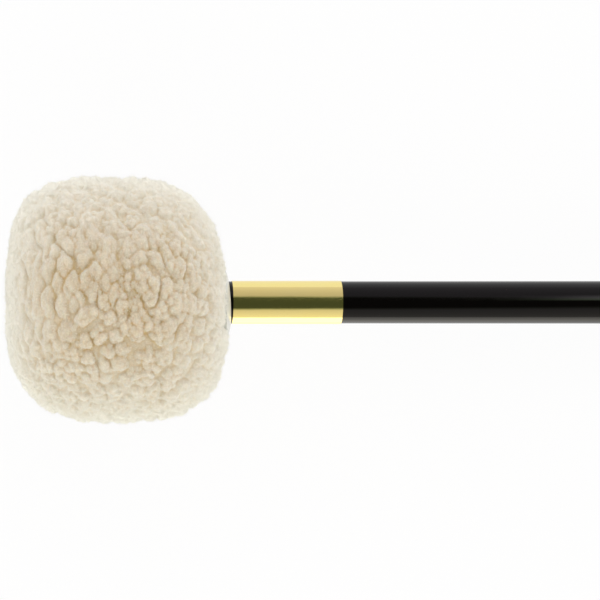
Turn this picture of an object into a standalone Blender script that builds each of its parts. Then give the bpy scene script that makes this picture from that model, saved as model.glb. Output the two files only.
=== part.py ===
"""Gong mallet: a fleece-covered head, wound over a rubber core, on a turned and lacquered handle.

The mallet lies at rest on the ground: the pile under its head and the lower edge of its butt touch z = 0.
Every piece is made along +X with the centre of the head at the origin, and an empty then tilts
them all to where they lie. The world's origin is under the middle of the bounding box. Metres, +Z up.
"""
import math

import bmesh
import bpy
from mathutils import Matrix, Vector

# Space between pieces that seat on each other
CLEARANCE = 0.0003

# Head, measured over the pile
HEAD_LENGTH = 0.085
HEAD_DIAMETER = 0.094
FRONT_SQUARENESS = 3.1
REAR_SQUARENESS = 2.75
FLEECE_THICKNESS = 0.011
REST_DEPTH = 0.0005

# Drawn-up centre of the cover's front
FRONT_HOLE_RADIUS = 0.0016
PUCKER_RADIUS = 0.0075
PUCKER_DEPTH = 0.003

# Lip of the pile round the collar
LIP_ROUNDING = 0.0012

# Handle
BUTT_REACH = 0.3375
NECK_DIAMETER = 0.016
BUTT_DIAMETER = 0.0171
BUTT_ROUNDING = 0.004
TENON_DIAMETER = 0.012
TENON_CHAMFER = 0.0008
SHOULDER_SINK = 0.001
TENON_SHORTFALL = 0.0015

# Core, felt and their fasteners
CORE_DIAMETER = 0.040
CORE_ROUNDING = 0.003
FELT_THICKNESS = 0.005
FELT_END_THICKNESS = 0.0007
DISC_THICKNESS = 0.005
DISC_EDGE = 0.0015
WASHER_DIAMETER = 0.020
WASHER_THICKNESS = 0.0016
WASHER_CHAMFER = 0.0003
SCREW_DIAMETER = 0.0045
SCREW_LENGTH = 0.024
SCREW_POINT = 0.005
SCREW_HEAD_DIAMETER = 0.009
SCREW_HEAD_HEIGHT = 0.0028
SCREW_HEAD_ROUNDING = 0.0012
SCREW_HEAD_SINK = 0.0007
SLOT_WIDTH = 0.0012
SLOT_DEPTH = 0.0013

# Collar behind the head
COLLAR_DIAMETER = 0.030
COLLAR_WALL = 0.0011
COLLAR_CROWN = 0.0034
COLLAR_HUB_WALL = 0.0013
COLLAR_SINK = 0.0036
COLLAR_LEAN = math.radians(3.0)

# Foil label wrapped round the neck
LABEL_LENGTH = 0.042
LABEL_THICKNESS = 0.00015
LABEL_GAP = 0.0001
LABEL_STAND_OFF = 0.0011
LABEL_SEAM = 0.0006

# Sewing thread
THREAD_DIAMETER = 0.0009
GATHER_WAVE = 0.0003
FRONT_GATHERS = 8
REAR_GATHERS = 12
SEAM_ANGLE = math.radians(130.0)
SEAM_END_RADIUS = 0.014
SEAM_STITCHES = 30
STITCH_WIDTH = 0.0016

# Facets
HEAD_FACETS = 48
HANDLE_FACETS = 40
FITTING_FACETS = 24
FELT_FACETS_PER_TURN = 36
QUARTER_STEPS = 10
POINT_SPREAD = 0.75
DISC_DOME_STEPS = 5
COLLAR_DOME_STEPS = 5
PUCKER_STEPS = 4
FELT_EDGE_POINTS = 4
THREAD_POINTS_PER_GATHER = 4
CORNER_STEPS = 3
BUTT_STEPS = 6
MERGE_DISTANCE = 0.00001
SHARP_ANGLE = math.radians(35.0)

# Search for the tilt at which the mallet rests
STEEPEST_TILT = math.radians(45.0)
TILT_HALVINGS = 60

# Worked out from the sizes above
head_half = HEAD_LENGTH / 2
head_radius = HEAD_DIAMETER / 2
cavity_half = head_half - FLEECE_THICKNESS
cavity_radius = head_radius - FLEECE_THICKNESS
filling_half = cavity_half - CLEARANCE
filling_radius = cavity_radius - CLEARANCE
disc_face = filling_half - DISC_THICKNESS
core_end = disc_face - CLEARANCE
core_radius = CORE_DIAMETER / 2

shoulder = core_end - SHOULDER_SINK
rear_washer_face = shoulder - CLEARANCE
rear_pocket_floor = rear_washer_face - WASHER_THICKNESS - CLEARANCE
screw_head_top = -core_end + SCREW_HEAD_SINK
screw_head_under = screw_head_top + SCREW_HEAD_HEIGHT
front_washer_face = screw_head_under + CLEARANCE
front_pocket_floor = front_washer_face + WASHER_THICKNESS + CLEARANCE
tenon_end = front_pocket_floor + TENON_SHORTFALL
screw_tip = screw_head_under + SCREW_LENGTH

thread_radius = THREAD_DIAMETER / 2
neck_lip = cavity_half + THREAD_DIAMETER + CLEARANCE
collar_seat = head_half - COLLAR_SINK
collar_face = collar_seat + COLLAR_CROWN
label_start = collar_face + LABEL_STAND_OFF
label_end = label_start + LABEL_LENGTH


def handle_radius(along):
    """Radius of the tapered handle between its shoulder and its butt."""
    share = (along - shoulder) / (BUTT_REACH - shoulder)
    return NECK_DIAMETER / 2 + share * (BUTT_DIAMETER - NECK_DIAMETER) / 2


collar_swing = (collar_seat - neck_lip) * math.sin(COLLAR_LEAN)
collar_bore = handle_radius(collar_face) + collar_swing + CLEARANCE
collar_hub = collar_bore + COLLAR_HUB_WALL
hub_end = neck_lip + CLEARANCE + collar_hub * math.sin(COLLAR_LEAN)
rear_hole = collar_hub / math.cos(COLLAR_LEAN) + collar_swing + CLEARANCE
rear_gather = handle_radius(neck_lip) + CLEARANCE + GATHER_WAVE + thread_radius
neck_hole = rear_gather + GATHER_WAVE + thread_radius + CLEARANCE
front_gather = FRONT_HOLE_RADIUS + GATHER_WAVE + thread_radius
front_groove = front_gather + GATHER_WAVE + thread_radius + CLEARANCE


def reach_of_oval(along, across, half_length, radius, squareness):
    """How far a superellipse reaches in the direction (along, across)."""
    power = squareness / (squareness - 1)
    total = (half_length * abs(along)) ** power + (radius * abs(across)) ** power
    return total ** (1 / power)


def reach_of_butt(along, across):
    """How far the rounded butt reaches from the head's centre in the direction (along, across)."""
    centre_along = BUTT_REACH - BUTT_ROUNDING
    centre_across = BUTT_DIAMETER / 2 - BUTT_ROUNDING
    return centre_along * along + centre_across * across + BUTT_ROUNDING


def head_height(tilt):
    """Height of the head's centre when the head is pressed flat by REST_DEPTH at this tilt."""
    reach = reach_of_oval(math.sin(tilt), math.cos(tilt), head_half, head_radius, REAR_SQUARENESS)
    return reach - REST_DEPTH


def resting_tilt():
    """Tilt at which the head and the butt touch the ground together."""
    low, high = 0.0, STEEPEST_TILT
    for _ in range(TILT_HALVINGS):
        middle = (low + high) / 2
        if reach_of_butt(math.sin(middle), math.cos(middle)) < head_height(middle):
            low = middle
        else:
            high = middle
    return low


def oval_radius(along, half_length, radius, squareness):
    """Radius of a superellipse of revolution at a distance along it."""
    return radius * (1 - (abs(along) / half_length) ** squareness) ** (1 / squareness)


def oval_along(across, half_length, radius, squareness):
    """Distance along a superellipse of revolution at which it has this radius."""
    return half_length * (1 - (across / radius) ** squareness) ** (1 / squareness)


def oval_points(half_length, radius, from_radius, to_radius):
    """Points over the whole oval, from a radius on its front to a radius on its rear.

    A point is found by its slope, its share of the radius over its share of the half length.
    """

    def angle_at(across, squareness):
        slope = across / radius * half_length / oval_along(across, half_length, radius, squareness)
        return math.atan(slope ** (1 / POINT_SPREAD))

    def point(angle, side, squareness):
        slope = math.tan(angle) ** POINT_SPREAD
        share = (1 + slope ** squareness) ** (-1 / squareness)
        return side * half_length * share, radius * slope * share

    points = []
    start = angle_at(from_radius, FRONT_SQUARENESS)
    for step in range(QUARTER_STEPS):
        angle = start + (math.pi / 2 - start) * step / QUARTER_STEPS
        points.append(point(angle, -1, FRONT_SQUARENESS))
    points.append((0.0, radius))
    end = angle_at(to_radius, REAR_SQUARENESS)
    for step in range(1, QUARTER_STEPS + 1):
        angle = math.pi / 2 + (end - math.pi / 2) * step / QUARTER_STEPS
        points.append(point(angle, 1, REAR_SQUARENESS))
    return points


def rounded(corners, steps=CORNER_STEPS):
    """Points of an outline whose (along, radius, rounding) corners become arcs."""
    points = []
    for index, (along, radius, rounding) in enumerate(corners):
        corner = Vector((along, radius))
        if rounding == 0:
            points.append((along, radius))
            continue
        before = (Vector(corners[index - 1][:2]) - corner).normalized()
        after = (Vector(corners[(index + 1) % len(corners)][:2]) - corner).normalized()
        half = before.angle(after) / 2
        centre = corner + (before + after).normalized() * rounding / math.sin(half)
        start = corner + before * rounding / math.tan(half) - centre
        sweep = math.pi - 2 * half
        turn = 1 if before.x * after.y - before.y * after.x < 0 else -1
        for step in range(steps + 1):
            arm = Matrix.Rotation(turn * sweep * step / steps, 2) @ start
            points.append(tuple(centre + arm))
    return points


def around(along, radius, angle):
    """Point at a distance along the axis and at an angle from the top, towards +Y."""
    return Vector((along, radius * math.sin(angle), radius * math.cos(angle)))


def material(name, colour, roughness, metallic=0.0):
    """Plain finish of one piece."""
    made = bpy.data.materials.new(name)
    made.use_nodes = True
    shader = made.node_tree.nodes["Principled BSDF"]
    shader.inputs["Base Color"].default_value = (*colour, 1.0)
    shader.inputs["Roughness"].default_value = roughness
    shader.inputs["Metallic"].default_value = metallic
    made.diffuse_color = (*colour, 1.0)
    return made


def add_object(name, data, finish):
    """Object of the mallet, carried by the tilted empty."""
    piece = bpy.data.objects.new(name, data)
    bpy.context.scene.collection.objects.link(piece)
    piece.parent = mallet
    if finish:
        data.materials.append(finish)
    return piece


def add_mesh(name, shape, finish):
    """Object from a finished bmesh, smooth except at its sharp edges."""
    bmesh.ops.recalc_face_normals(shape, faces=shape.faces)
    mesh = bpy.data.meshes.new(name)
    shape.to_mesh(mesh)
    shape.free()
    mesh.shade_smooth()
    mesh.set_sharp_from_angle(angle=SHARP_ANGLE)
    return add_object(name, mesh, finish)


def turned(name, outline, finish, facets):
    """Piece turned about X from (along, radius) points: a ring, or closed on the axis at both ends."""
    shape = bmesh.new()
    points = [shape.verts.new((along, 0.0, radius)) for along, radius in outline]
    edges = [shape.edges.new(pair) for pair in zip(points, points[1:])]
    if min(radius for _, radius in outline) > 0:
        edges.append(shape.edges.new((points[-1], points[0])))
    bmesh.ops.spin(
        shape, geom=points + edges, cent=(0, 0, 0), axis=(1, 0, 0), angle=2 * math.pi, steps=facets
    )
    bmesh.ops.remove_doubles(shape, verts=shape.verts, dist=MERGE_DISTANCE)
    return add_mesh(name, shape, finish)


def swept(name, sections, finish):
    """Piece that runs through closed sections of equally many points, with both ends filled."""
    shape = bmesh.new()
    rings = [[shape.verts.new(point) for point in section] for section in sections]
    shape.faces.new(rings[0])
    shape.faces.new(rings[-1])
    for ring, following in zip(rings, rings[1:]):
        for index in range(len(ring)):
            shape.faces.new((ring[index - 1], ring[index], following[index], following[index - 1]))
    bmesh.ops.triangulate(shape, faces=[face for face in shape.faces if len(face.verts) > 4])
    return add_mesh(name, shape, finish)


def thread(name, points, finish, cyclic):
    """Sewing thread along a line of points."""
    curve = bpy.data.curves.new(name, "CURVE")
    curve.dimensions = "3D"
    curve.bevel_depth = thread_radius
    curve.bevel_resolution = 1
    curve.use_fill_caps = True
    line = curve.splines.new("POLY")
    line.points.add(len(points) - 1)
    for place, point in zip(line.points, points):
        place.co = (*point, 1.0)
    line.use_cyclic_u = cyclic
    return add_object(name, curve, finish)


def cut(piece, cutter):
    """Takes a guide shape out of a piece."""
    cutter.hide_render = True
    cutter.display_type = "WIRE"
    step = piece.modifiers.new(cutter.name, "BOOLEAN")
    step.operation = "DIFFERENCE"
    step.solver = "EXACT"
    step.object = cutter


def make_handle():
    """Tapered handle with a rounded butt, a shoulder and a tenon drilled for the screw."""
    neck = NECK_DIAMETER / 2
    tenon = TENON_DIAMETER / 2
    pilot = SCREW_DIAMETER / 2 + CLEARANCE
    pilot_end = screw_tip - SCREW_POINT + CLEARANCE
    point_end = screw_tip + 2 * CLEARANCE
    outline = rounded(
        [
            (point_end, 0.0, 0),
            (pilot_end, pilot, 0),
            (tenon_end, pilot, 0),
            (tenon_end, tenon - TENON_CHAMFER, 0),
            (tenon_end + TENON_CHAMFER, tenon, 0),
            (shoulder, tenon, 0),
            (shoulder, neck, TENON_CHAMFER / 2),
            (BUTT_REACH, BUTT_DIAMETER / 2, BUTT_ROUNDING),
            (BUTT_REACH, 0.0, 0),
        ],
        steps=BUTT_STEPS,
    )
    lacquer = material("black_lacquer", (0.006, 0.005, 0.005), 0.12)
    turned("handle", outline, lacquer, HANDLE_FACETS)


def make_foil_label():
    """Foil wrapped once round the neck, its ends meeting underneath."""
    inner_start = handle_radius(label_start) + LABEL_GAP
    inner_end = handle_radius(label_end) + LABEL_GAP
    half_seam = LABEL_SEAM / 2 / inner_start
    step = 2 * math.pi / HANDLE_FACETS
    angles = [step * index for index in range(1, HANDLE_FACETS)]
    angles = [half_seam] + angles + [2 * math.pi - half_seam]
    sections = [
        [
            around(label_start, inner_start, math.pi + angle),
            around(label_end, inner_end, math.pi + angle),
            around(label_end, inner_end + LABEL_THICKNESS, math.pi + angle),
            around(label_start, inner_start + LABEL_THICKNESS, math.pi + angle),
        ]
        for angle in angles
    ]
    swept("foil_label", sections, material("gold_foil", (0.80, 0.62, 0.26), 0.15, 1.0))


def make_core():
    """Rubber core, bored for the tenon and counterbored for a washer at each end."""
    bore = TENON_DIAMETER / 2 + CLEARANCE
    rear_pocket = max(WASHER_DIAMETER, NECK_DIAMETER) / 2 + CLEARANCE
    front_pocket = max(WASHER_DIAMETER, SCREW_HEAD_DIAMETER) / 2 + CLEARANCE
    outline = rounded(
        [
            (-core_end, core_radius, CORE_ROUNDING),
            (core_end, core_radius, CORE_ROUNDING),
            (core_end, rear_pocket, 0),
            (rear_pocket_floor, rear_pocket, 0),
            (rear_pocket_floor, bore, 0),
            (front_pocket_floor, bore, 0),
            (front_pocket_floor, front_pocket, 0),
            (-core_end, front_pocket, 0),
        ]
    )
    turned("core", outline, material("core_rubber", (0.03, 0.03, 0.03), 0.8), HANDLE_FACETS)


def make_washer(name, face, hole):
    """Flat steel washer whose rear face is at this distance along the axis."""
    front = face - WASHER_THICKNESS
    outer = WASHER_DIAMETER / 2
    outline = [
        (front, hole),
        (front, outer - WASHER_CHAMFER),
        (front + WASHER_CHAMFER, outer),
        (face, outer),
        (face, hole),
    ]
    turned(name, outline, material(f"{name}_steel", (0.55, 0.56, 0.58), 0.3, 1.0), FITTING_FACETS)


def make_core_screw():
    """Slotted screw that holds the core on the tenon."""
    shank = SCREW_DIAMETER / 2
    head = SCREW_HEAD_DIAMETER / 2
    outline = rounded(
        [
            (screw_head_top, 0.0, 0),
            (screw_head_top, head, SCREW_HEAD_ROUNDING),
            (screw_head_under, head, 0),
            (screw_head_under, shank, 0),
            (screw_tip - SCREW_POINT, shank, 0),
            (screw_tip, 0.0, 0),
        ]
    )
    steel = material("screw_steel", (0.50, 0.51, 0.53), 0.3, 1.0)
    screw = turned("core_screw", outline, steel, FITTING_FACETS)
    shape = bmesh.new()
    bmesh.ops.create_cube(shape, size=1.0)
    bmesh.ops.scale(shape, vec=(2 * SLOT_DEPTH, SLOT_WIDTH, 2 * SCREW_HEAD_DIAMETER), verts=shape.verts)
    bmesh.ops.translate(shape, vec=(screw_head_top, 0, 0), verts=shape.verts)
    cut(screw, add_mesh("screw_slot", shape, None))


def felt_edges(radius):
    """Front and rear edge of the wound felt at this radius, under the discs and the cover."""
    front = oval_along(radius, filling_half, filling_radius, FRONT_SQUARENESS)
    rear = oval_along(radius, filling_half, filling_radius, REAR_SQUARENESS)
    return -min(front, core_end), min(rear, core_end)


def make_felt_wrap():
    """One strip of felt, wound on the core from a skived lead to a skived tail.

    The strip's outer face is a spiral that climbs by one pitch each turn. Its inner face is the
    core for the first turn and then the spiral a turn before, and the last turn thins out
    under the cover.
    """
    inside = core_radius + CLEARANCE
    outside = filling_radius - CLEARANCE
    pitch = FELT_THICKNESS + CLEARANCE

    def spiral(turns):
        return inside + FELT_END_THICKNESS + pitch * turns

    turns = 1 + (outside - FELT_END_THICKNESS - CLEARANCE - spiral(0)) / pitch
    steps = math.ceil(turns * FELT_FACETS_PER_TURN)
    sections = []
    for step in range(steps + 1):
        turn = turns * step / steps
        inner = inside if turn < 1 else spiral(turn - 1) + CLEARANCE
        outer = min(spiral(turn), outside)
        radii = [
            inner + (outer - inner) * index / (FELT_EDGE_POINTS - 1)
            for index in range(FELT_EDGE_POINTS)
        ]
        angle = SEAM_ANGLE + 2 * math.pi * turn
        section = [around(felt_edges(radius)[0], radius, angle) for radius in radii]
        section += [around(felt_edges(radius)[1], radius, angle) for radius in reversed(radii)]
        sections.append(section)
    swept("felt_wrap", sections, material("grey_felt", (0.42, 0.41, 0.38), 0.95))


def make_felt_disc(name, side, squareness, bore):
    """Felt disc over one end of the core, domed to the inside of the cover."""
    edge_along = disc_face + DISC_EDGE
    edge = oval_radius(edge_along, filling_half, filling_radius, squareness)
    dome = []
    for step in range(DISC_DOME_STEPS + 1):
        across = bore + (edge - bore) * step / DISC_DOME_STEPS
        along = oval_along(across, filling_half, filling_radius, squareness)
        dome.append((side * along, across))
    outline = dome + [(side * disc_face, edge), (side * disc_face, bore)]
    turned(name, outline, material(f"{name}_felt", (0.46, 0.45, 0.42), 0.95), HANDLE_FACETS)


def pucker(across):
    """How far the drawn-up centre of the cover is pulled in at this radius."""
    share = (across - FRONT_HOLE_RADIUS) / (PUCKER_RADIUS - FRONT_HOLE_RADIUS)
    return PUCKER_DEPTH * (1 + math.cos(math.pi * share)) / 2


def cover_outline():
    """Section of the cover: pile side, collar seat, tied neck, hollow and front gather."""
    recess = COLLAR_DIAMETER / 2 + COLLAR_WALL * math.sin(COLLAR_LEAN) + CLEARANCE
    recess_floor = collar_seat - COLLAR_DIAMETER / 2 * math.sin(COLLAR_LEAN) - CLEARANCE
    groove_floor = -cavity_half - THREAD_DIAMETER - CLEARANCE
    points = []
    for step in range(PUCKER_STEPS):
        across = FRONT_HOLE_RADIUS + (PUCKER_RADIUS - FRONT_HOLE_RADIUS) * step / PUCKER_STEPS
        along = -oval_along(across, head_half, head_radius, FRONT_SQUARENESS)
        points.append((along + pucker(across), across))
    pile = oval_points(head_half, head_radius, PUCKER_RADIUS, recess)
    lip = rounded([(*pile[-2], 0), (*pile[-1], LIP_ROUNDING), (recess_floor, recess, 0)])
    points += pile[:-2] + lip
    points += [(recess_floor, rear_hole)]
    points += [(neck_lip, rear_hole), (neck_lip, neck_hole)]
    points += reversed(oval_points(cavity_half, cavity_radius, front_groove, neck_hole))
    points += [(groove_floor, front_groove), (groove_floor, FRONT_HOLE_RADIUS)]
    return points


def seam_line(offset):
    """Line along the inside of the cover, this far outside the hollow."""
    half_length = cavity_half + offset
    radius = cavity_radius + offset
    return oval_points(half_length, radius, SEAM_END_RADIUS, SEAM_END_RADIUS)


def make_seam_channel():
    """Guide for the channel that the cover's seam leaves on its inside."""
    half_width = STITCH_WIDTH / 2 + thread_radius + CLEARANCE
    depth = THREAD_DIAMETER + CLEARANCE
    outline = seam_line(depth) + list(reversed(seam_line(-depth)))
    turn = Matrix.Rotation(-SEAM_ANGLE, 3, "X")
    sections = [
        [turn @ Vector((along, side * half_width, across)) for along, across in outline]
        for side in (-1, 1)
    ]
    return swept("seam_channel", sections, None)


def make_rest_plane():
    """Guide for the ground, which presses the pile flat where the head lies on it."""
    shape = bmesh.new()
    bmesh.ops.create_cube(shape, size=2 * HEAD_DIAMETER)
    bmesh.ops.translate(shape, vec=(mallet.location.x, 0, -HEAD_DIAMETER), verts=shape.verts)
    ground = add_mesh("rest_plane", shape, None)
    ground.parent = None
    return ground


def make_fleece_cover():
    """Fleece sock over the whole head, open round the collar and drawn up at the front."""
    fleece = material("cream_fleece", (0.80, 0.72, 0.60), 0.95)
    cover = turned("fleece_cover", cover_outline(), fleece, HEAD_FACETS)
    cut(cover, make_seam_channel())
    cut(cover, make_rest_plane())


def make_seam_thread(finish):
    """Zigzag stitches that close the cover along its length."""
    half_length = cavity_half + thread_radius
    radius = cavity_radius + thread_radius
    turn = Matrix.Rotation(-SEAM_ANGLE, 3, "X")
    line = [Vector(point) for point in oval_points(half_length, radius, SEAM_END_RADIUS, SEAM_END_RADIUS)]
    lengths = [0.0]
    for before, after in zip(line, line[1:]):
        lengths.append(lengths[-1] + (after - before).length)
    points = []
    for stitch in range(SEAM_STITCHES + 1):
        distance = THREAD_DIAMETER + (lengths[-1] - 2 * THREAD_DIAMETER) * stitch / SEAM_STITCHES
        index = max(i for i in range(len(line) - 1) if lengths[i] <= distance)
        share = (distance - lengths[index]) / (lengths[index + 1] - lengths[index])
        along, across = line[index].lerp(line[index + 1], share)
        side = STITCH_WIDTH / 2 * (1 if stitch % 2 else -1)
        points.append(turn @ Vector((along, side, across)))
    thread("seam_thread", points, finish, cyclic=False)


def make_gather_thread(name, along, radius, gathers, finish):
    """Thread drawn tight round an end of the cover, with a wave for each gather."""
    steps = THREAD_POINTS_PER_GATHER * gathers
    points = []
    for step in range(steps):
        angle = 2 * math.pi * step / steps
        points.append(around(along, radius + GATHER_WAVE * math.cos(gathers * angle), angle))
    thread(name, points, finish, cyclic=True)


def make_rear_collar():
    """Domed white collar over the tied neck, with a hub that reaches down into it."""
    rim = COLLAR_DIAMETER / 2
    steps = COLLAR_DOME_STEPS

    def dome(across):
        share = (across - collar_bore) / (rim - collar_bore)
        return COLLAR_WALL + (COLLAR_CROWN - COLLAR_WALL) * (1 - share ** 2)

    radii = [collar_bore + (rim - collar_bore) * step / steps for step in range(steps + 1)]
    outline = [(dome(across), across) for across in radii]
    under = [collar_hub + (rim - collar_hub) * step / steps for step in range(steps + 1)]
    outline += [(dome(across) - COLLAR_WALL, across) for across in reversed(under)]
    outline += [(hub_end - collar_seat, collar_hub), (hub_end - collar_seat, collar_bore)]
    plastic = material("white_collar", (0.82, 0.83, 0.85), 0.35)
    collar = turned("rear_collar", outline, plastic, HANDLE_FACETS)
    collar.location.x = collar_seat
    collar.rotation_euler.z = COLLAR_LEAN


for leftover in list(bpy.data.objects):
    bpy.data.objects.remove(leftover, do_unlink=True)

tilt = resting_tilt()
front_reach = reach_of_oval(math.cos(tilt), math.sin(tilt), head_half, head_radius, FRONT_SQUARENESS)
butt_reach = reach_of_butt(math.cos(tilt), math.sin(tilt))

mallet = bpy.data.objects.new("mallet", None)
bpy.context.scene.collection.objects.link(mallet)
mallet.location = ((front_reach - butt_reach) / 2, 0.0, head_height(tilt))
mallet.rotation_euler.y = tilt

make_handle()
make_foil_label()
make_core()
make_washer("front_washer", front_pocket_floor - CLEARANCE, SCREW_DIAMETER / 2 + CLEARANCE)
make_washer("rear_washer", rear_washer_face, TENON_DIAMETER / 2 + CLEARANCE)
make_core_screw()
make_felt_wrap()
make_felt_disc("front_felt_disc", -1, FRONT_SQUARENESS, 0.0)
make_felt_disc("rear_felt_disc", 1, REAR_SQUARENESS, handle_radius(filling_half) + CLEARANCE)
make_fleece_cover()
linen = material("linen_thread", (0.70, 0.64, 0.52), 0.8)
make_gather_thread("front_gather_thread", -cavity_half - thread_radius, front_gather, FRONT_GATHERS, linen)
make_gather_thread("rear_gather_thread", cavity_half + thread_radius, rear_gather, REAR_GATHERS, linen)
make_seam_thread(linen)
make_rear_collar()

bpy.context.view_layer.update()
print(f"The mallet lies tilted by {math.degrees(tilt):.2f} degrees.")
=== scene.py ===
"""Gong mallet with a fleece head, at rest on its head and its butt, seen from straight above."""
import math

import bmesh
import bpy
import numpy as np
from mathutils import Matrix, Vector, noise
from mathutils.kdtree import KDTree


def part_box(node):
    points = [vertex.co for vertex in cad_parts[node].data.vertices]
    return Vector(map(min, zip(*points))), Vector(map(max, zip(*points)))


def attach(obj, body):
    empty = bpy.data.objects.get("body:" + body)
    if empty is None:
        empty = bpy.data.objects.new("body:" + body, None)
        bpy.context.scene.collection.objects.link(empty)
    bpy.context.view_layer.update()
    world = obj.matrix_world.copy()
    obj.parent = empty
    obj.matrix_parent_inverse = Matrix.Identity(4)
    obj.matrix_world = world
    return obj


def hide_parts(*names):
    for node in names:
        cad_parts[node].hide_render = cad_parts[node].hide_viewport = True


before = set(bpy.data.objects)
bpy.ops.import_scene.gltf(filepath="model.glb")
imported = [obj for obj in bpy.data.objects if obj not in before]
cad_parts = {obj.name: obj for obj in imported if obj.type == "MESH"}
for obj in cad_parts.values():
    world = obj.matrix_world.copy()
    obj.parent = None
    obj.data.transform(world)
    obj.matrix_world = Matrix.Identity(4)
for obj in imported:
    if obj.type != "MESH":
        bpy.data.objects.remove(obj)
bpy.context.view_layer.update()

# Picture and camera. The camera looks straight down.
PICTURE_SIDE = 600
NECK_WIDTH_IN_PICTURE = 41.7
CAMERA_DISTANCE = 1.055
CAMERA_ALONG = -0.0768
CAMERA_ACROSS = 0.0009
SENSOR_WIDTH = 0.036

# Space between pieces that seat on each other, and points this near to each other that become one
CLEARANCE = 0.0003
WELD = 0.000003

# Head, measured over the pile
HEAD_LENGTH = 0.085
HEAD_DIAMETER = 0.094
FRONT_SQUARENESS = 3.1
REAR_SQUARENESS = 2.75
SLUMP = math.tan(math.radians(2.5))
SLUMP_START = 0.016
SLUMP_FULL = 0.034
SWAY = 0.0010
SWAY_START = 0.018

# Pile: clumps of wool parted by winding furrows, with lobes and small knobs on them
FURROW_SCALE = (0.0090, 0.0045)
FURROW_DEPTH = (0.0011, 0.0003)
FURROW_WIDTH = (0.17, 0.20)
FURROW_SHARPNESS = 1.6
FURROW_OPENNESS = 0.75
FURROW_CLOSING = 1.2
FURROW_CLOSING_SCALE = 0.012
CLUMP_CROWN = 0.0006
CLUMP_CROWN_WIDTH = 0.6
CLUMP_STRETCH = 1.5
LOBE_SPACING = 0.0046
LOBE_RADIUS = 0.0037
LOBE_LIFT = 0.00055
LOBE_SOFTNESS = 0.00008
KNOB_SPACING = 0.0021
KNOB_RADIUS = 0.0021
KNOB_LIFT = 0.00022
KNOB_SOFTNESS = 0.00004
TRIES_PER_KNOB = 6
NEIGHBOURS = 14
DRAWN_OUT = (1.1, 1.9)
DRAWN_OUT_WIDTH = 0.030
WARP = 0.0008
WARP_SCALE = 0.0045
CURL = 0.00006
CURL_SCALE = 0.0008
BOLDNESS = (0.95, 0.7)
BOLDNESS_SCALE = 0.018
DEEPEST = 0.0022
CREASE_SPREAD = 14
TOPS = 0.06
PILE_FINENESS = 8
PILE_SEED = 11
SWIRL_SEED = 1

# Wool held down beside the collar
COLLAR_DIP = 0.0020
COLLAR_DIP_WIDTH = 0.020
COLLAR_DIP_LOWEST = -0.015
COLLAR_DIP_FULL = -0.007

# Hollow of the cover, over the wound filling
HOLLOW_HALF_LENGTH = 0.0328
HOLLOW_RADIUS = 0.0373
HOLLOW_FACETS = 96
FRONT_PUCKER_RADIUS = 0.010
FRONT_PUCKER_DEPTH = 0.003

# Loose fibres over the pile
FIBRES = 33000
FIBRE_LENGTH = (0.0005, 0.0015)
FIBRE_RADIUS = 0.00006
FIBRE_ROOT = 0.0002
FIBRE_LEAN = (0.4, 2.0)
FIBRE_FLOW_SCALE = 0.004
FIBRE_STRAY = 0.3
FIBRE_MIDDLE = 0.5
FIBRE_BEND = (0.1, 0.5)
FIBRE_DEEPEST_LEVEL = 0.93
BARE_CREASE = 0.9
FADING_CREASE = 0.4
FEWEST_IN_CREASE = 0.05
FIBRE_SEEDS = {"fleece_fibres": 5, "fleece_fibres_2": 6}
FIBRE_LAYOUT = ((0.1, 0.5), (0.5, 0.1), (0.5, 0.5), (0.5, 0.9), (0.9, 0.5))

# Handle
NECK_DIAMETER = 0.016
BUTT_DIAMETER = 0.0171
BUTT_ROUNDING = 0.004
TENON_DIAMETER = 0.012
TENON_CHAMFER = 0.0008
SCREW_DIAMETER = 0.0045
SCREW_POINT = 0.005

# Foil label
LABEL_THICKNESS = 0.00015
LABEL_GAP = 0.0001
LABEL_SEAM = 0.0006

# Collar
COLLAR_WALL = 0.0011
COLLAR_CROWN = 0.0034
COLLAR_SINK = 0.0036
COLLAR_HUB_WALL = 0.0013
COLLAR_LEAN = math.radians(3.0)

# Fineness of the turned pieces
TURNED_FACETS = 160
ARC_STEPS = 16
SHARP_ANGLE = math.radians(35.0)
NEAR_AXIS = 1e-9

# Floor: how much of it is plain white to the eye, and the painted glow that mirrors show on its lower side
FLOOR_HALF_SIDE = 6.0
FLOOR_WHITE_SHARE = 0.93
FLOOR_GLOW = 1.7
FLOOR_GLOW_EDGE = (-0.02, -0.07)

# Room: pale walls, an oval dark part overhead and a narrow gleam in it, by the direction of a ray
WHITE = (1.0, 1.0, 1.0, 1.0)
WARM_WHITE = (1.0, 0.96, 0.86, 1.0)
DARK_HALF_LENGTH = 0.42
DARK_HALF_WIDTH = 0.59
DARK_ASIDE = 0.05
DARK_EDGE = (0.9, 1.15)
DARK_ABOVE = (0.0, 0.2)
DARK_LEVEL = 0.075
WALL_LEVEL = 0.45
LOWER_SIDE = (0.2, -1.0)
LOWER_SIDE_LEVEL = 0.2
LOW_DOWN = (0.9, 0.0)
LOW_DOWN_LEVEL = 0.3
GLEAM_LEVEL = 2.4
GLEAM_FRONT_EDGE = (0.295, 0.33)
GLEAM_LOW_EDGE = (0.68, 0.74)
GLEAM_NEAR_END = (0.15, 0.25)
GLEAM_FAR_END = (0.75, 0.45)

# Lamps: place along and across the mallet, and power
SOFTBOX_SIDE = 1.2
SOFTBOX_HEIGHT = 0.56
SOFTBOXES = {
    "upper_softbox": (-0.2, 1.0, 5.2),
    "lower_softbox": (-0.2, -1.0, 5.1),
    "front_softbox": (-1.2, 0.0, 4.0),
    "rear_softbox": (1.0, 0.0, 4.0),
}


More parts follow.
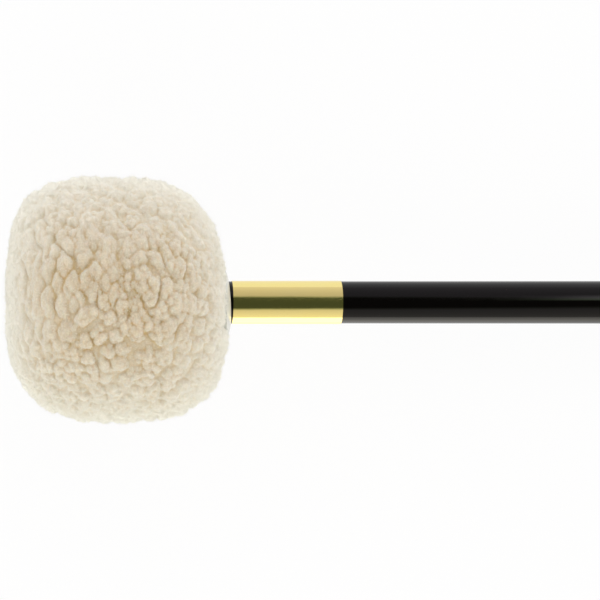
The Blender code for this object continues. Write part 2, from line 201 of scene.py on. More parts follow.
class Value:
    """A socket of a shader. Its operators add Math nodes."""

    def __init__(self, shading, socket):
        self.shading = shading
        self.socket = socket

    def maths(self, operation, *values):
        return self.shading.node("ShaderNodeMath", {"operation": operation}, dict(enumerate(values)))

    def __add__(self, other):
        return self.maths("ADD", self, other)

    __radd__ = __add__

    def __sub__(self, other):
        return self.maths("SUBTRACT", self, other)

    def __rsub__(self, other):
        return self.maths("SUBTRACT", other, self)

    def __mul__(self, other):
        return self.maths("MULTIPLY", self, other)

    __rmul__ = __mul__

    def __truediv__(self, other):
        return self.maths("DIVIDE", self, other)

    def __pow__(self, other):
        return self.maths("POWER", self, other)


class Shading:
    """Node tree of a finish, a lamp or the surroundings."""

    def __init__(self, owner):
        owner.use_nodes = True
        self.tree = owner.node_tree

    def node(self, kind, settings, inputs, output=0):
        """Any node, from its type, its settings and the values or links of its sockets."""
        made = self.tree.nodes.new(kind)
        for name, setting in settings.items():
            if name == "stops":
                self.set_stops(made.color_ramp, setting)
            else:
                setattr(made, name, setting)
        for name, value in inputs.items():
            self.feed(made.inputs[name], value)
        return Value(self, made.outputs[output])

    def feed(self, socket, value):
        """Links a value to a socket, or writes a plain one in it."""
        if isinstance(value, Value):
            self.tree.links.new(value.socket, socket)
        else:
            socket.default_value = value

    def set_stops(self, ramp, stops):
        while len(ramp.elements) < len(stops):
            ramp.elements.new(1.0)
        for element, (place, tone) in zip(ramp.elements, stops):
            element.position = place
            element.color = colour(*tone)

    def find(self, name):
        return self.tree.nodes[name]

    def place(self):
        """Where a point lies on the piece."""
        return self.node("ShaderNodeTexCoord", {}, {}, "Object")

    def stretched(self, scale):
        """The piece's own coordinates, scaled apart in each direction."""
        turn = self.node("ShaderNodeMapping", {}, {"Vector": self.place(), "Rotation": (0, -tilt, 0)})
        return self.node("ShaderNodeVectorMath", {"operation": "MULTIPLY"}, {0: turn, 1: scale})

    def grain(self, where, scale, detail=2.0, roughness=0.5):
        """Soft noise from 0 to 1."""
        inputs = {"Vector": where, "Scale": scale, "Detail": detail, "Roughness": roughness}
        return self.node("ShaderNodeTexNoise", {}, inputs, "Fac")

    def spread(self, value, low, high):
        """Value stretched so that low becomes 0 and high becomes 1."""
        return self.node("ShaderNodeMapRange", {}, {"Value": value, "From Min": low, "From Max": high})

    def blend(self, share, first, second):
        """Colour between two colours."""
        settings = {"data_type": "RGBA"}
        return self.node("ShaderNodeMix", settings, {0: share, 6: first, 7: second}, 2)

    def toned(self, first, second):
        """Colour multiplied by a colour."""
        settings = {"data_type": "RGBA", "blend_type": "MULTIPLY"}
        return self.node("ShaderNodeMix", settings, {0: 1.0, 6: first, 7: second}, 2)

    def bump(self, height, distance):
        """Fine unevenness of the surface."""
        return self.node("ShaderNodeBump", {}, {"Height": height, "Distance": distance, "Strength": 1.0})


class Finish(Shading):
    """Surface of some of the mallet's pieces."""

    def __init__(self, name):
        self.material = bpy.data.materials.new(name)
        super().__init__(self.material)

    def surface(self, **sockets):
        shader = self.find("Principled BSDF")
        for name, value in sockets.items():
            self.feed(shader.inputs[name.replace("_", " ")], value)

    def kept(self, name, output):
        """What the mesh keeps for each of its vertices under this name."""
        return self.node("ShaderNodeAttribute", {"attribute_name": name}, {}, output)

    def nap_sheen(self, share, tone, normal):
        """Pale tips of fibres as a painted sheen, thicker where the head itself is seen at a slant; it also
        stands in for the brighter light on the head's edges.
        """
        facing = {"Blend": 0.5, "Normal": self.kept("head_direction", "Vector")}
        slant = self.node("ShaderNodeLayerWeight", {}, facing, "Facing")
        tips = self.node("ShaderNodeBsdfDiffuse", {}, {"Color": tone, "Normal": normal})
        under = Value(self, self.find("Principled BSDF").outputs[0])
        both = self.node("ShaderNodeMixShader", {}, {0: slant * share, 1: under, 2: tips})
        self.feed(self.find("Material Output").inputs["Surface"], both)


def colour(red, green, blue):
    """Linear colour with full alpha."""
    return (red, green, blue, 1.0)


# The mallet's own directions: along the handle from the head's centre, across, and up


def middle(node):
    low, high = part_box(node)
    return (low + high) / 2


head_centre = middle("core")
handle_line = (middle("rear_washer") - middle("front_washer")).normalized()
tilt = math.asin(-handle_line.z)
to_world = Matrix.Translation(head_centre) @ Matrix.Rotation(tilt, 4, "Y")
to_mallet = to_world.inverted()


def coordinates(mesh):
    """Vertices of a mesh as rows."""
    points = np.empty(len(mesh.vertices) * 3)
    mesh.vertices.foreach_get("co", points)
    return points.reshape(-1, 3)


def moved(points, matrix):
    """Rows of points, moved by a matrix."""
    matrix = np.array(matrix)
    return points @ matrix[:3, :3].T + matrix[:3, 3]


def reach(node):
    """How far a node starts and ends along the handle's line."""
    along = moved(coordinates(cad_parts[node].data), to_mallet)[:, 0]
    return along.min(), along.max()


tenon_end, butt_end = reach("handle")
label_start, label_end = reach("foil_label")
screw_tip = reach("core_screw")[1]
shoulder = reach("rear_washer")[1] + CLEARANCE
neck_lip = reach("rear_gather_thread")[1] + CLEARANCE
head_half = HEAD_LENGTH / 2
head_radius = HEAD_DIAMETER / 2
collar_radius = (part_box("rear_collar")[1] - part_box("rear_collar")[0]).y / 2
collar_seat = head_half - COLLAR_SINK


def handle_radius(along):
    """Radius of the tapered handle between its shoulder and its butt."""
    share = (along - shoulder) / (butt_end - shoulder)
    return (NECK_DIAMETER + share * (BUTT_DIAMETER - NECK_DIAMETER)) / 2


collar_swing = (collar_seat - neck_lip) * math.sin(COLLAR_LEAN)
collar_bore = handle_radius(collar_seat + COLLAR_CROWN) + collar_swing + CLEARANCE
collar_hub = collar_bore + COLLAR_HUB_WALL


def add_piece(name, mesh, finish, body="root"):
    """Piece of the mallet with one finish."""
    piece = bpy.data.objects.new(name, mesh)
    bpy.context.scene.collection.objects.link(piece)
    mesh.materials.clear()
    mesh.materials.append(finish.material)
    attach(piece, body)
    return piece


def turned_mesh(name, outline, facets=TURNED_FACETS):
    """Mesh turned about the handle's line from (along, radius) points."""
    shape = bmesh.new()
    points = [shape.verts.new((along, 0.0, radius)) for along, radius in outline]
    edges = [shape.edges.new(pair) for pair in zip(points, points[1:])]
    if min(radius for _, radius in outline) > 0:
        edges.append(shape.edges.new((points[-1], points[0])))
    bmesh.ops.spin(
        shape, geom=points + edges, cent=(0, 0, 0), axis=(1, 0, 0), angle=2 * math.pi, steps=facets
    )
    bmesh.ops.remove_doubles(shape, verts=shape.verts, dist=WELD)
    return finished_mesh(name, shape)


def finished_mesh(name, shape):
    """Smooth mesh with crisp edges, from a bmesh."""
    bmesh.ops.recalc_face_normals(shape, faces=shape.faces)
    mesh = bpy.data.meshes.new(name)
    shape.to_mesh(mesh)
    shape.free()
    mesh.shade_smooth()
    mesh.set_sharp_from_angle(angle=SHARP_ANGLE)
    return mesh


def rounded(corners):
    """Points of an outline whose (along, radius, rounding) corners become arcs."""
    points = []
    for index, (along, radius, rounding) in enumerate(corners):
        corner = Vector((along, radius))
        if rounding == 0:
            points.append((along, radius))
            continue
        before = (Vector(corners[index - 1][:2]) - corner).normalized()
        after = (Vector(corners[(index + 1) % len(corners)][:2]) - corner).normalized()
        half = before.angle(after) / 2
        centre = corner + (before + after).normalized() * rounding / math.sin(half)
        start = corner + before * rounding / math.tan(half) - centre
        sweep = math.pi - 2 * half
        turn = 1 if before.x * after.y - before.y * after.x < 0 else -1
        for step in range(ARC_STEPS + 1):
            points.append(tuple(centre + Matrix.Rotation(turn * sweep * step / ARC_STEPS, 2) @ start))
    return points


def mesh_of(name, points, faces):
    """Mesh from rows of points and rows of corners."""
    mesh = bpy.data.meshes.new(name)
    mesh.from_pydata(points.tolist(), [], faces.tolist())
    mesh.update()
    return mesh


def with_modifiers(name, mesh, *modifiers):
    """A mesh with modifiers applied. Each is its type and its settings."""
    holder = bpy.data.objects.new(name, mesh)
    bpy.context.scene.collection.objects.link(holder)
    for kind, settings in modifiers:
        step = holder.modifiers.new(kind, kind)
        for key, value in settings.items():
            setattr(step, key, value)
    made = bpy.data.meshes.new_from_object(holder.evaluated_get(bpy.context.evaluated_depsgraph_get()))
    made.name = name
    bpy.data.objects.remove(holder)
    return made


# Pile of the head


def squareness(points):
    """How square the oval is at these points: the power of its superellipse."""
    return np.where(points[:, 0] < 0, FRONT_SQUARENESS, REAR_SQUARENESS)


def oval_level(points):
    """1 on the outside of the pile and less within it."""
    along = np.abs(points[:, 0]) / head_half
    across = np.hypot(points[:, 1], points[:, 2]) / head_radius
    power = squareness(points)
    return (along ** power + across ** power) ** (1 / power)


def unit(rows):
    """Rows brought to length 1."""
    return rows / np.linalg.norm(rows, axis=1)[:, None]


def outward(points):
    """Directions that stand square on the oval through these points."""
    power = squareness(points) - 1
    radius = np.maximum(np.hypot(points[:, 1], points[:, 2]), NEAR_AXIS)
    along = np.sign(points[:, 0]) * (np.abs(points[:, 0]) / head_half) ** power / head_half
    across = (radius / head_radius) ** power / head_radius / radius
    return unit(np.stack([along, across * points[:, 1], across * points[:, 2]], 1))


def pile_points(count, draws):
    """Random points of the oval, spread evenly over its surface."""
    aims = unit(draws.normal(size=(count, 3)))
    points = aims / oval_level(aims)[:, None]
    slant = (aims * outward(points)).sum(1)
    area = (points ** 2).sum(1) / slant
    return points[draws.random(count) < area / area.max()]


def thinned(points, spacing):
    """Points that keep this distance from each other."""
    tree = KDTree(len(points))
    for index, point in enumerate(points):
        tree.insert(point, index)
    tree.balance()
    free = np.ones(len(points), bool)
    kept = []
    for index, point in enumerate(points):
        if free[index]:
            kept.append(index)
            free[[near for _, near, _ in tree.find_range(point, spacing)]] = False
    return points[kept]


def sideways(directions, draws):
    """Random directions that lie square to these."""
    return unit(np.cross(directions, unit(draws.normal(size=directions.shape))))


def smooth_step(share):
    """Share that starts and ends softly."""
    share = np.clip(share, 0, 1)
    return share * share * (3 - 2 * share)


def ball(fineness):
    """Points and faces of a ball of radius 1."""
    shape = bmesh.new()
    bmesh.ops.create_icosphere(shape, subdivisions=fineness, radius=1.0)
    points = np.array([vert.co for vert in shape.verts])
    faces = np.array([[vert.index for vert in face.verts] for face in shape.faces])
    shape.free()
    return points, faces


def copies(count, points, faces):
    """Faces of many copies of a shape whose points follow each other."""
    return (faces[None] + np.arange(count)[:, None, None] * points).reshape(-1, faces.shape[1])


def drawn_out(points):
    """How much longer than wide the clumps are, most at the front and on one side of the head."""
    share = smooth_step((points[:, 1] - points[:, 0]) / DRAWN_OUT_WIDTH)
    return DRAWN_OUT[0] + (DRAWN_OUT[1] - DRAWN_OUT[0]) * share


def knobs(points, spacing, radius, lift, softness, draws):
    """How far the wool lies under the tops of crowded round knobs that run softly together."""
    crowd = TRIES_PER_KNOB * 4 * math.pi * head_half * head_radius / spacing ** 2
    tops = thinned(pile_points(round(crowd), draws), spacing)
    lifts = draws.uniform(-lift, 0, len(tops))
    tree = KDTree(len(tops))
    for index, top in enumerate(tops):
        tree.insert(top, index)
    tree.balance()
    numbers = np.array([[found for _, found, _ in tree.find_n(point, NEIGHBOURS)] for point in points])
    apart = points[:, None] - tops[numbers]
    apart[:, :, 1] /= drawn_out(points)[:, None]
    under = (apart ** 2).sum(axis=2) / (2 * radius) - lifts[numbers]
    nearest = under.min(axis=1)
    return nearest - softness * np.log(np.exp((nearest[:, None] - under) / softness).sum(axis=1))


def swell(points, scale):
    """Smooth random heights from -1 to 1."""
    return np.array([noise.noise(point) for point in points / scale])


def swirls(points, scale):
    """Smooth random directions, one for each point."""
    return np.array([noise.noise_vector(point) for point in points / scale])


def furrows(points, scale, depth, width):
    """Depth of winding furrows, and how far a point lies from them, from 0 to 1."""
    apart = np.abs(swell(points, scale))
    return depth * (1 - np.clip(apart / width, 0, 1)) ** FURROW_SHARPNESS, apart


def collar_dip(points):
    """How far the wool is held down round the collar, on all but one side of it."""
    across = np.hypot(points[:, 1], points[:, 2])
    beside = 1 - smooth_step((across - collar_radius) / COLLAR_DIP_WIDTH)
    side = smooth_step((points[:, 1] - COLLAR_DIP_LOWEST) / (COLLAR_DIP_FULL - COLLAR_DIP_LOWEST))
    return COLLAR_DIP * beside * side * (points[:, 0] > 0)


def relief(points, draws):
    """How far the wool lies under the pile's outside at these points."""
    warped = points + WARP * swirls(points, WARP_SCALE)
    squeezed = warped / (1, CLUMP_STRETCH, 1)
    wide, apart = furrows(squeezed, FURROW_SCALE[0], FURROW_DEPTH[0], FURROW_WIDTH[0])
    narrow, _ = furrows(squeezed + head_radius, FURROW_SCALE[1], FURROW_DEPTH[1], FURROW_WIDTH[1])
    closing = FURROW_CLOSING * swell(points - head_radius, FURROW_CLOSING_SCALE)
    crown = CLUMP_CROWN * (1 - np.clip(apart / CLUMP_CROWN_WIDTH, 0, 1))
    boldness = BOLDNESS[0] + BOLDNESS[1] * swell(points + 2 * head_radius, BOLDNESS_SCALE)
    sunk = (wide + narrow) * smooth_step(FURROW_OPENNESS + closing) + crown
    sunk += knobs(warped, LOBE_SPACING, LOBE_RADIUS, LOBE_LIFT, LOBE_SOFTNESS, draws) * boldness
    sunk += knobs(points, KNOB_SPACING, KNOB_RADIUS, KNOB_LIFT, KNOB_SOFTNESS, draws)
    sunk += CURL * swirls(points + head_radius, CURL_SCALE)[:, 0]
    return np.minimum(sunk - np.quantile(sunk, TOPS), DEEPEST)


def hollow_outline():
    """Section of what the cover keeps free: its filling, the tied neck and the collar's seat."""
    lean = collar_radius * math.sin(COLLAR_LEAN)
    recess = collar_radius + COLLAR_WALL * math.sin(COLLAR_LEAN) + CLEARANCE
    neck = collar_hub / math.cos(COLLAR_LEAN) + 3 * CLEARANCE
    mouth = HOLLOW_HALF_LENGTH * (1 - (neck / HOLLOW_RADIUS) ** REAR_SQUARENESS) ** (1 / REAR_SQUARENESS)
    points = []
    for step in range(2 * ARC_STEPS):
        angle = math.pi * step / (2 * ARC_STEPS)
        power = FRONT_SQUARENESS if angle < math.pi / 2 else REAR_SQUARENESS
        level = abs(math.cos(angle)) ** power + math.sin(angle) ** power
        size = level ** (-1 / power)
        along = -HOLLOW_HALF_LENGTH * math.cos(angle) * size
        across = HOLLOW_RADIUS * math.sin(angle) * size
        if along < 0 or across > neck:
            points.append((along, across))
    points[0] = (-HOLLOW_HALF_LENGTH, 0.0)
    floor = collar_seat - lean - CLEARANCE
    points += [(mouth, neck), (floor, neck), (floor, recess), (2 * head_half, recess), (2 * head_half, 0.0)]
    return points


def slumped(points):
    """The cover's outside, sagged a little to one side and drawn in at the front."""
    lopsided = smooth_step((np.abs(points[:, 1]) - SLUMP_START) / (SLUMP_FULL - SLUMP_START))
    across = np.hypot(points[:, 1], points[:, 2])
    pucker = FRONT_PUCKER_DEPTH * (1 - smooth_step(across / FRONT_PUCKER_RADIUS)) * (points[:, 0] < 0)
    along = pucker - SLUMP * points[:, 1] * lopsided
    sway = SWAY * smooth_step((across - SWAY_START) / (head_radius - SWAY_START))
    return points + np.stack([along, sway, 0 * sway], 1)


def creases(sunk, faces):
    """Order of the vertices, from 0 to 1, by how far they lie under the wool close around them."""
    corners = faces.ravel()
    around = sunk
    for _ in range(CREASE_SPREAD):
        around = np.bincount(corners, np.repeat(around[faces].mean(1), 3)) / np.bincount(corners)
    return (sunk - around).argsort().argsort() / len(sunk)


def keep_creases(mesh, shares):
    """Keeps a share for each vertex in the mesh, for its finish to read: it paints shade into the creases
    with it.
    """
    kept = mesh.attributes.new("crease", "FLOAT", "POINT")
    kept.data.foreach_set("value", shares.astype(np.float32))


def keep_directions(mesh):
    """Keeps which way the head faces at each vertex, for its finish to read."""
    points = moved(coordinates(mesh), to_mallet)
    directions = outward(points) @ np.array(to_world.to_3x3()).T
    kept = mesh.attributes.new("head_direction", "FLOAT_VECTOR", "POINT")
    kept.data.foreach_set("vector", directions.astype(np.float32).ravel())


def pile_mesh():
    """The whole cover, lobed outside and hollow for what it covers."""
    draws = np.random.default_rng(PILE_SEED)
    aims, faces = ball(PILE_FINENESS)
    points = aims / oval_level(aims)[:, None]
    sunk = relief(points, draws)
    points = points - outward(points) * (sunk + collar_dip(points))[:, None]
    solid = mesh_of("pile", slumped(points), faces)
    keep_creases(solid, creases(sunk, faces))
    hollow = bpy.data.objects.new("hollow", turned_mesh("hollow", hollow_outline(), HOLLOW_FACETS))
    bpy.context.scene.collection.objects.link(hollow)
    cutting = {"operation": "DIFFERENCE", "solver": "MANIFOLD", "object": hollow}
    mesh = with_modifiers("fleece_pile", solid, ("BOOLEAN", cutting))
    bpy.data.objects.remove(hollow)
    return mesh


def lay_down(mesh):
    """Lays the cover on the ground, pressed flat where it touches."""
    points = moved(coordinates(mesh), to_world)
    points[:, 2] = np.maximum(points[:, 2], 0)
    mesh.vertices.foreach_set("co", points.ravel())
    mesh.update()
    mesh.shade_smooth()
    keep_directions(mesh)


def fibre_mesh(name, pile, seed):
    """Thin bent fibres, pointed at both ends, that lean together in clumps all over the pile."""
    draws = np.random.default_rng(seed)
    centres, normals, areas, sunk = face_facts(pile)
    outside = oval_level(moved(centres, to_mallet)) > FIBRE_DEEPEST_LEVEL
    crowd = areas * outside * np.clip((BARE_CREASE - sunk) / FADING_CREASE, FEWEST_IN_CREASE, 1)
    picked = draws.choice(len(crowd), FIBRES, p=crowd / crowd.sum())
    upright = normals[picked]
    root = centres[picked] - upright * FIBRE_ROOT
    flow = swirls(centres[picked], FIBRE_FLOW_SCALE)
    flow += draws.normal(scale=FIBRE_STRAY, size=(FIBRES, 3))
    lean = unit(np.cross(upright, flow))
    aim = unit(upright + lean * draws.uniform(*FIBRE_LEAN, (FIBRES, 1)))
    curl = sideways(aim, draws)
    length = draws.uniform(*FIBRE_LENGTH, (FIBRES, 1))
    bend = root + length * (aim * FIBRE_MIDDLE + curl * FIBRE_BEND[0])
    tip = root + length * (aim + curl * FIBRE_BEND[1])
    first = sideways(aim, draws)
    second = np.cross(aim, first)
    turns = [2 * math.pi * corner / 3 for corner in range(3)]
    ring = [bend + FIBRE_RADIUS * (first * math.cos(turn) + second * math.sin(turn)) for turn in turns]
    points = np.stack([root, *ring, tip], 1).reshape(-1, 3)
    points[:, 2] = np.maximum(points[:, 2], 0)
    sides = []
    for corner, following in ((1, 2), (2, 3), (3, 1)):
        sides += [(following, corner, 0), (corner, following, 4)]
    mesh = mesh_of(name, points, copies(FIBRES, len(FIBRE_LAYOUT), np.array(sides)))
    mesh.shade_smooth()
    keep_directions(mesh)
    lay_out_fibres(mesh)
    return mesh


def lay_out_fibres(mesh):
    """Gives each fibre a small square of its own in a map for baking its colours to."""
    side = math.ceil(math.sqrt(FIBRES))
    squares = np.stack(np.divmod(np.arange(FIBRES), side), 1)
    places = (squares[:, None] + np.array(FIBRE_LAYOUT)) / side
    corners = np.empty(len(mesh.loops), int)
    mesh.loops.foreach_get("vertex_index", corners)
    mesh.uv_layers.new(name="OFBake").data.foreach_set("uv", places.reshape(-1, 2)[corners].ravel())


def face_facts(mesh):
    """Centres, directions and areas of a mesh's faces, and how far they lie in its creases."""
    count = len(mesh.polygons)
    centres, normals, areas = np.empty(count * 3), np.empty(count * 3), np.empty(count)
    mesh.polygons.foreach_get("center", centres)
    mesh.polygons.foreach_get("normal", normals)
    mesh.polygons.foreach_get("area", areas)
    starts, corners = np.empty(count, int), np.empty(len(mesh.loops), int)
    mesh.polygons.foreach_get("loop_start", starts)
    mesh.loops.foreach_get("vertex_index", corners)
    sunk = np.empty(len(mesh.vertices), np.float32)
    mesh.attributes["crease"].data.foreach_get("value", sunk)
    return centres.reshape(-1, 3), normals.reshape(-1, 3), areas, sunk[corners[starts]]


# Finishes


def fleece_finish():
    finish = Finish("cream_fleece")
    patches = finish.grain(finish.place(), scale=70.0)
    fluff = finish.grain(finish.place(), scale=1500.0, detail=3.0, roughness=0.7)
    # Painted shade: the crease share turns the wool darker and more golden down in the creases, standing in
    # for shade and for light scattered within the pile there.
    shade = finish.kept("crease", "Fac") + (patches - 0.5) * 0.7
    stops = [
        (0.0, (0.83, 0.75, 0.60)),
        (0.6, (0.82, 0.71, 0.54)),
        (0.85, (0.81, 0.66, 0.43)),
        (1.0, (0.79, 0.60, 0.31)),
    ]
    wool = finish.node("ShaderNodeValToRGB", {"stops": stops}, {"Fac": shade}, "Color")
    texture = finish.bump(fluff, distance=0.0006)
    for share, tone in (
        (finish.spread(fluff, low=0.3, high=0.7), colour(0.80, 0.785, 0.75)),
        (finish.spread(patches, low=0.6, high=0.4), colour(0.94, 0.925, 0.90)),
    ):
        wool = finish.toned(wool, finish.blend(share, tone, WHITE))
    finish.surface(
        Base_Color=wool,
        Roughness=1.0,
        Specular_IOR_Level=0.1,
        Sheen_Weight=1.0,
        Sheen_Roughness=0.35,
        Sheen_Tint=colour(1.0, 1.0, 0.98),
        Subsurface_Weight=0.7,
        Subsurface_Radius=(1.0, 0.8, 0.6),
        Subsurface_Scale=0.004,
        Normal=texture,
    )
    # Painted sheen over the pile: paler wool where the head is seen at a slant, partly for the pale fibre
    # tips and partly for the brighter light on its edges.
    finish.nap_sheen(1.0, colour(0.97, 0.965, 0.87), texture)
    return finish


def fibre_finish():
    finish = Finish("loose_fibre")
    strands = finish.grain(finish.place(), scale=250.0)
    texture = finish.bump(strands, distance=0.00002)
    finish.surface(
        Base_Color=finish.blend(strands, colour(0.82, 0.75, 0.61), colour(0.90, 0.84, 0.72)),
        Roughness=1.0,
        Specular_IOR_Level=0.1,
        Sheen_Weight=0.5,
        Normal=texture,
    )
    # Painted sheen over the fibres, as on the pile.
    finish.nap_sheen(1.0, colour(0.99, 0.985, 0.90), texture)
    return finish


def lacquer_finish():
    finish = Finish("black_lacquer")
    ripple = finish.grain(finish.stretched((40.0, 160.0, 160.0)), scale=1.0)
    haze = finish.grain(finish.place(), scale=220.0, detail=3.0)
    finish.surface(
        Base_Color=finish.blend(haze, colour(0.0008, 0.0003, 0.0005), colour(0.0014, 0.0006, 0.0009)),
        Roughness=0.07 + haze * 0.05,
        IOR=1.33,
        Normal=finish.bump(ripple, distance=0.00002),
    )
    return finish


def foil_finish():
    finish = Finish("gold_foil")
    wrinkles = finish.grain(finish.stretched((90.0, 260.0, 260.0)), scale=1.0, detail=3.0)
    grain = finish.grain(finish.place(), scale=3000.0, detail=1.0)
    finish.surface(
        Base_Color=finish.blend(wrinkles, colour(0.93, 0.76, 0.28), colour(0.90, 0.77, 0.33)),
        Metallic=1.0,
        Roughness=0.07 + grain * 0.06,
        Normal=finish.bump(wrinkles, distance=0.00003),
    )
    return finish


def collar_finish():
    finish = Finish("white_collar")
    clouds = finish.grain(finish.place(), scale=300.0, detail=3.0)
    finish.surface(
        Base_Color=finish.blend(clouds, colour(0.60, 0.61, 0.565), colour(0.66, 0.665, 0.615)),
        Roughness=0.28 + clouds * 0.1,
        Coat_Weight=0.4,
        Coat_Roughness=0.1,
        Normal=finish.bump(clouds, distance=0.00002),
    )
    return finish


def rubber_finish():
    finish = Finish("core_rubber")
    speckle = finish.grain(finish.place(), scale=900.0, detail=4.0)
    finish.surface(
        Base_Color=finish.blend(speckle, colour(0.02, 0.02, 0.021), colour(0.05, 0.05, 0.05)),
        Roughness=0.6 + speckle * 0.25,
        Normal=finish.bump(speckle, distance=0.0001),
    )
    return finish


def steel_finish():
    finish = Finish("fitting_steel")
    brush = finish.grain(finish.stretched((200.0, 2500.0, 2500.0)), scale=1.0)
    finish.surface(
        Base_Color=finish.blend(brush, colour(0.50, 0.51, 0.53), colour(0.62, 0.63, 0.65)),
        Metallic=1.0,
        Roughness=0.25 + brush * 0.2,
        Normal=finish.bump(brush, distance=0.00002),
    )
    return finish


def felt_finish():
    finish = Finish("grey_felt")
    mat = finish.grain(finish.place(), scale=700.0, detail=5.0, roughness=0.7)
    clouds = finish.grain(finish.place(), scale=90.0)
    shade = mat * 0.6 + clouds * 0.4
    finish.surface(
        Base_Color=finish.blend(shade, colour(0.30, 0.29, 0.26), colour(0.55, 0.53, 0.49)),
        Roughness=0.95,
        Sheen_Weight=0.3,
        Normal=finish.bump(mat, distance=0.0004),
    )
    return finish


def thread_finish():
    finish = Finish("linen_thread")
    strands = {"Vector": finish.place(), "Scale": 600.0}
    twist = finish.node("ShaderNodeTexWave", {"bands_direction": "DIAGONAL"}, strands, "Fac")
    finish.surface(
        Base_Color=finish.blend(twist, colour(0.55, 0.49, 0.38), colour(0.74, 0.68, 0.56)),
        Roughness=0.8,
        Normal=finish.bump(twist, distance=0.0001),
    )
    return finish


# Pieces that show


def make_handle(finish):
    """Tapered handle with a rounded butt, a shoulder and a tenon drilled for the screw."""
    tenon = TENON_DIAMETER / 2
    pilot = SCREW_DIAMETER / 2 + CLEARANCE
    outline = rounded(
        [
            (screw_tip + 2 * CLEARANCE, 0.0, 0),
            (screw_tip - SCREW_POINT + CLEARANCE, pilot, 0),
            (tenon_end, pilot, 0),
            (tenon_end, tenon - TENON_CHAMFER, 0),
            (tenon_end + TENON_CHAMFER, tenon, 0),
            (shoulder, tenon, 0),
            (shoulder, NECK_DIAMETER / 2, TENON_CHAMFER / 2),
            (butt_end, BUTT_DIAMETER / 2, BUTT_ROUNDING),
            (butt_end, 0.0, 0),
        ]
    )
    mesh = turned_mesh("lacquered_handle", outline)
    mesh.transform(to_world)
    piece = add_piece("lacquered_handle", mesh, finish)
    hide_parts("handle")


def make_label(finish):
    """Foil wrapped once round the neck, its ends meeting underneath."""
    half_seam = LABEL_SEAM / NECK_DIAMETER
    shape = bmesh.new()
    rings = []
    for step in range(TURNED_FACETS + 1):
        angle = math.pi + half_seam + (2 * math.pi - 2 * half_seam) * step / TURNED_FACETS
        ring = []
        for along, lift in (
            (label_start, LABEL_GAP),
            (label_end, LABEL_GAP),
            (label_end, LABEL_GAP + LABEL_THICKNESS),
            (label_start, LABEL_GAP + LABEL_THICKNESS),
        ):
            radius = handle_radius(along) + lift
            ring.append(shape.verts.new((along, radius * math.sin(angle), radius * math.cos(angle))))
        rings.append(ring)
    shape.faces.new(rings[0])
    shape.faces.new(rings[-1])
    for ring, following in zip(rings, rings[1:]):
        for index in range(4):
            shape.faces.new((ring[index - 1], ring[index], following[index], following[index - 1]))
    mesh = finished_mesh("foil_band", shape)
    mesh.transform(to_world)
    piece = add_piece("foil_band", mesh, finish)
    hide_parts("foil_label")


def make_collar(finish):
    """Domed white collar with a hub that reaches down into the tied neck."""

    def dome(across):
        share = (across - collar_bore) / (collar_radius - collar_bore)
        return COLLAR_WALL + (COLLAR_CROWN - COLLAR_WALL) * (1 - share ** 2)

    hub_end = neck_lip + CLEARANCE + collar_hub * math.sin(COLLAR_LEAN) - collar_seat
    shares = [step / ARC_STEPS for step in range(ARC_STEPS + 1)]
    over = [collar_bore + (collar_radius - collar_bore) * share for share in shares]
    under = [collar_hub + (collar_radius - collar_hub) * share for share in shares]
    outline = [(dome(across), across) for across in over]
    outline += [(dome(across) - COLLAR_WALL, across) for across in reversed(under)]
    outline += [(hub_end, collar_hub), (hub_end, collar_bore)]
    mesh = turned_mesh("domed_collar", outline)
    mesh.transform(to_world @ Matrix.Translation((collar_seat, 0, 0)) @ Matrix.Rotation(COLLAR_LEAN, 4, "Z"))
    piece = add_piece("domed_collar", mesh, finish)
    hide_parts("rear_collar")


def make_fleece(finish, loose):
    """Pile of the head, and the fibres that stand out of it."""
    noise.seed_set(SWIRL_SEED)
    mesh = pile_mesh()
    lay_down(mesh)
    pile = add_piece("fleece_pile", mesh, finish)
    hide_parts("fleece_cover")
    for name, seed in FIBRE_SEEDS.items():
        add_piece(name, fibre_mesh(name, mesh, seed), loose)


def finish_inner_nodes():
    """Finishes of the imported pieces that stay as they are."""
    steel, felt, linen = steel_finish(), felt_finish(), thread_finish()
    finishes = {
        "core": rubber_finish(),
        "core_screw": steel,
        "front_washer": steel,
        "rear_washer": steel,
        "felt_wrap": felt,
        "front_felt_disc": felt,
        "rear_felt_disc": felt,
        "front_gather_thread": linen,
        "rear_gather_thread": linen,
        "seam_thread": linen,
    }
    for name, finish in finishes.items():
        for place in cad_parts[name].material_slots:
            place.material = finish.material


# Studio


def seen_directly(shading):
    """1 for rays from the camera and for mirrored and passed rays."""
    rays = [
        shading.node("ShaderNodeLightPath", {}, {}, output)
        for output in ("Is Camera Ray", "Is Glossy Ray", "Is Transmission Ray")
    ]
    return rays[0].maths("MAXIMUM", rays[0].maths("MAXIMUM", rays[0], rays[1]), rays[2])


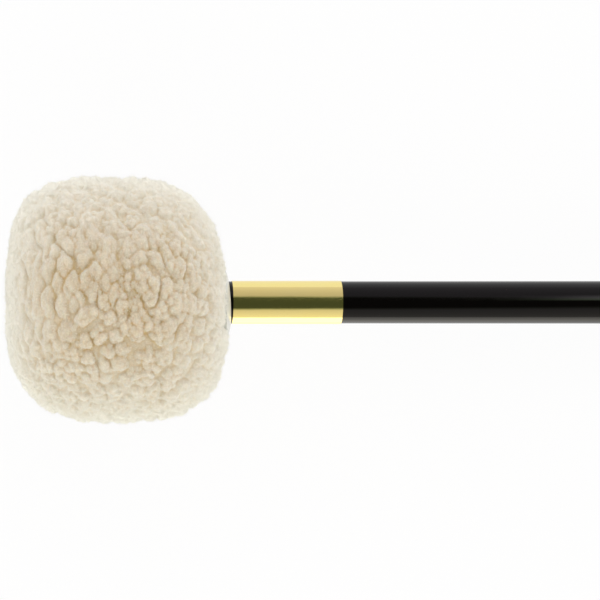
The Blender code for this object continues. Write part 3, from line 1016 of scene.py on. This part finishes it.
def make_floor():
    """Wide pale floor that keeps a faint shadow. Mirrored, it has a painted glow on the side of the lower
    lamp, as if that lamp lit it there.
    """
    shape = bmesh.new()
    bmesh.ops.create_grid(shape, x_segments=2, y_segments=2, size=FLOOR_HALF_SIDE)
    mesh = bpy.data.meshes.new("floor")
    shape.to_mesh(mesh)
    shape.free()
    floor = bpy.data.objects.new("floor", mesh)
    bpy.context.scene.collection.objects.link(floor)
    material = bpy.data.materials.new("pale_floor")
    mesh.materials.append(material)
    shading = Shading(material)
    paper = shading.node("ShaderNodeBsdfDiffuse", {}, {"Color": colour(0.9, 0.9, 0.9)})
    mirrored = shading.node("ShaderNodeLightPath", {}, {}, "Is Glossy Ray")
    across = shading.node("ShaderNodeSeparateXYZ", {}, {0: shading.place()}, "Y")
    # Painted glow: only mirrored rays see the floor's lower side brighter and warmer, in place of the lower
    # lamp's light on it.
    painted_glow = mirrored * shading.spread(across, *FLOOR_GLOW_EDGE)
    tone = shading.blend(painted_glow, WHITE, WARM_WHITE)
    glow = shading.node("ShaderNodeEmission", {}, {"Color": tone, "Strength": 1 + painted_glow * FLOOR_GLOW})
    share = seen_directly(shading) * FLOOR_WHITE_SHARE
    surface = shading.node("ShaderNodeMixShader", {}, {0: share, 1: paper, 2: glow})
    shading.feed(shading.find("Material Output").inputs["Surface"], surface)


def make_surroundings():
    """Pale room, dark straight above but for a narrow gleam, and white where the camera sees it."""
    world = bpy.data.worlds.new("room")
    bpy.context.scene.world = world
    shading = Shading(world)
    direction = shading.node("ShaderNodeTexCoord", {}, {}, "Generated")
    along, across, upward = [
        shading.node("ShaderNodeSeparateXYZ", {}, {0: direction}, axis) for axis in "XYZ"
    ]
    off_along = along / DARK_HALF_LENGTH
    off_across = (across + DARK_ASIDE) / DARK_HALF_WIDTH
    away = (off_along * off_along + off_across * off_across) ** 0.5
    overhead = shading.spread(upward, *DARK_ABOVE) * (1 - shading.spread(away, *DARK_EDGE))
    pale = 1 - overhead
    side = shading.spread(across, *LOWER_SIDE)
    low = shading.spread(upward, *LOW_DOWN)
    gleam = shading.spread(along, *GLEAM_FRONT_EDGE) * shading.spread(upward, *GLEAM_LOW_EDGE)
    gleam = gleam * shading.spread(across, *GLEAM_NEAR_END) * shading.spread(across, *GLEAM_FAR_END)
    walls = pale * (WALL_LEVEL + side * LOWER_SIDE_LEVEL + low * LOW_DOWN_LEVEL)
    level = walls + gleam * GLEAM_LEVEL + DARK_LEVEL
    wall_tone = shading.blend(side, colour(1.0, 0.95, 0.98), WARM_WHITE)
    tone = shading.blend(pale, colour(0.8, 1.0, 0.65), wall_tone)
    room = shading.node("ShaderNodeBackground", {}, {"Color": tone, "Strength": level})
    plain = shading.node("ShaderNodeBackground", {}, {"Color": WHITE, "Strength": 1.0})
    camera_ray = shading.node("ShaderNodeLightPath", {}, {}, "Is Camera Ray")
    surface = shading.node("ShaderNodeMixShader", {}, {0: camera_ray, 1: room, 2: plain})
    shading.feed(shading.find("World Output").inputs["Surface"], surface)


def add_softbox(name, place, power):
    """Large square lamp, aimed at the head, that mirrors don't show."""
    light = bpy.data.lights.new(name, "AREA")
    light.size = SOFTBOX_SIDE
    light.energy = power
    lamp = bpy.data.objects.new(name, light)
    bpy.context.scene.collection.objects.link(lamp)
    lamp.location = place
    lamp.rotation_euler = (head_centre - Vector(place)).to_track_quat("-Z", "Y").to_euler()
    lamp.visible_camera = False
    lamp.visible_glossy = False


def make_camera():
    """Camera straight above, at the distance from which the picture was taken."""
    pixel = NECK_DIAMETER / NECK_WIDTH_IN_PICTURE
    camera = bpy.data.cameras.new("camera")
    camera.sensor_width = SENSOR_WIDTH * 1000
    camera.lens = camera.sensor_width * CAMERA_DISTANCE / (PICTURE_SIDE * pixel)
    camera.clip_start = 0.05
    camera.clip_end = 20.0
    holder = bpy.data.objects.new("camera", camera)
    bpy.context.scene.collection.objects.link(holder)
    label_middle = to_world @ Vector(((label_start + label_end) / 2, 0, 0))
    holder.location = (CAMERA_ALONG, CAMERA_ACROSS, label_middle.z + CAMERA_DISTANCE)
    bpy.context.scene.camera = holder


make_camera()
make_floor()
make_surroundings()
for name, (along, across, power) in SOFTBOXES.items():
    add_softbox(name, (along, across, SOFTBOX_HEIGHT), power)
bpy.context.scene.view_settings.view_transform = "Standard"

make_handle(lacquer_finish())
make_label(foil_finish())
make_collar(collar_finish())
make_fleece(fleece_finish(), fibre_finish())
finish_inner_nodes()
